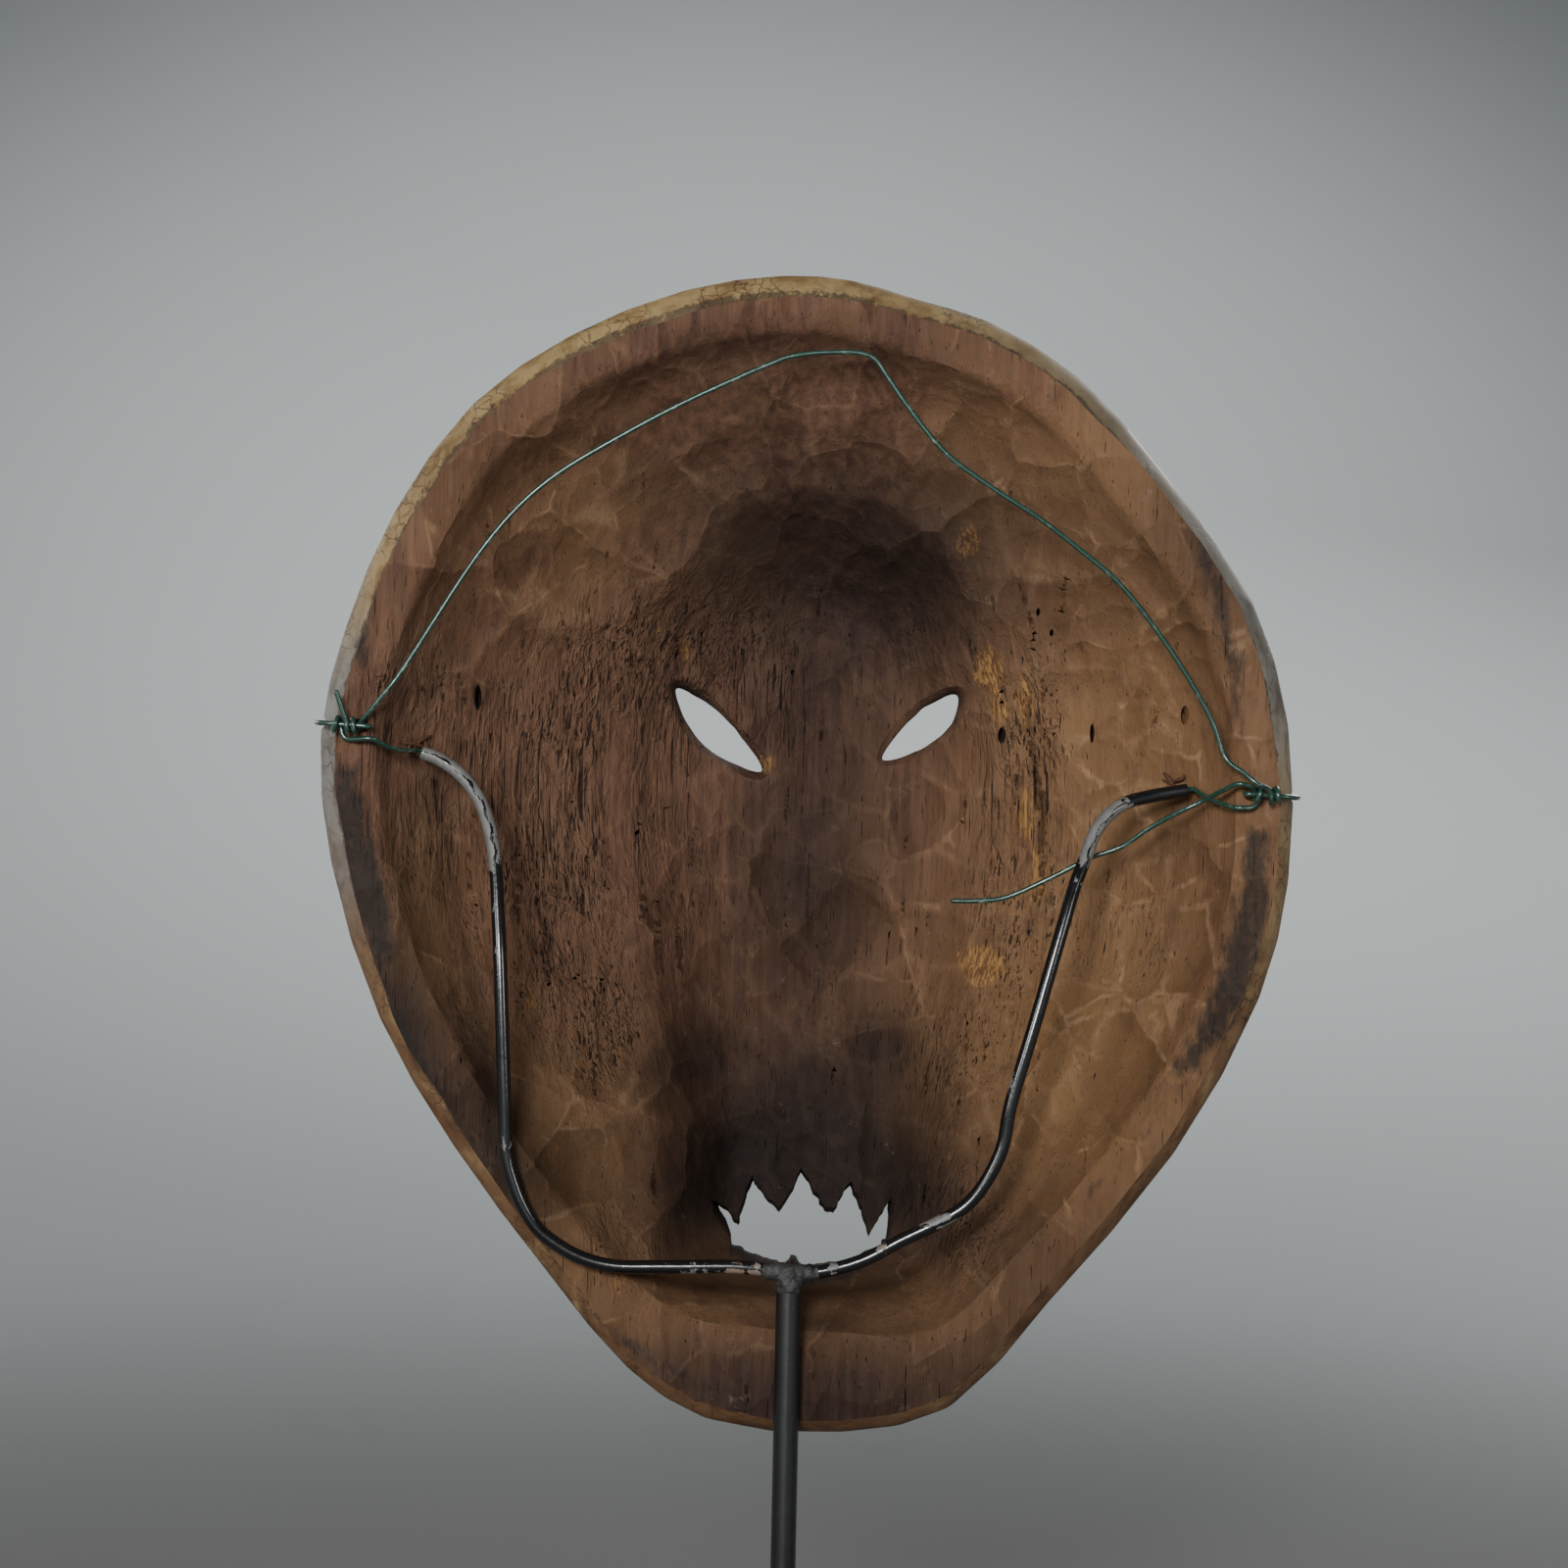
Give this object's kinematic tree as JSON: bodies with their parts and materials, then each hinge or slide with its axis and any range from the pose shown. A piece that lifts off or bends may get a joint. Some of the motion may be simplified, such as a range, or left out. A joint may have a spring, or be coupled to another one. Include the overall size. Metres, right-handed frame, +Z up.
{
  "type": "carved wooden mask on a display stand",
  "caption": "Hollow carved wooden face mask with slanted eye slits, a toothed mouth and a hanging wire, wired to the bent arms of a slim steel display stand.",
  "frame": {"origin": "middle of the felt pad's underside, on the post's axis, at table height", "axes": "+Z up; the face looks along -Y and the hollow back along +Y; +X is the side that the back view shows on its left"},
  "size_m": [0.2534, 0.1643, 0.4016],
  "materials": {
    "carved_wood": "bare gouged wood behind, worn paint in front",
    "black_steel": "semi-gloss black paint, chipped to a pale primer",
    "weld": "rough, half painted",
    "plain_steel": "zinc plated",
    "coated_wire": "dark green plastic coat on a steel core",
    "felt": "dark felt"
  },
  "bodies": {
    "stand": {"felt_pad": "felt", "base_plate": "black_steel", "base_screw": "plain_steel", "post": "black_steel", "weld_bead": "weld", "left_arm": "black_steel", "right_arm": "black_steel"},
    "mask": {"mask_shell": "carved_wood", "left_rim_loop": "coated_wire", "right_rim_loop": "coated_wire", "left_arm_tie": "coated_wire", "right_arm_tie": "coated_wire"},
    "hanger": {"hanger_wire": "coated_wire"}
  },
  "joints": [
    {"name": "mask_tilt", "type": "hinge", "parent": "stand", "child": "mask", "pos_m": [0.09775, -0.01569, 0.27727], "axis": [-0.9996, -0.004, -0.0284], "range_deg": [0, 12]},
    {"name": "hanger_swing", "type": "hinge", "parent": "mask", "child": "hanger", "pos_m": [0.11409, -0.00071, 0.28386], "axis": [-0.9983, 0, -0.0582], "range_deg": [0, 110]}
  ]
}
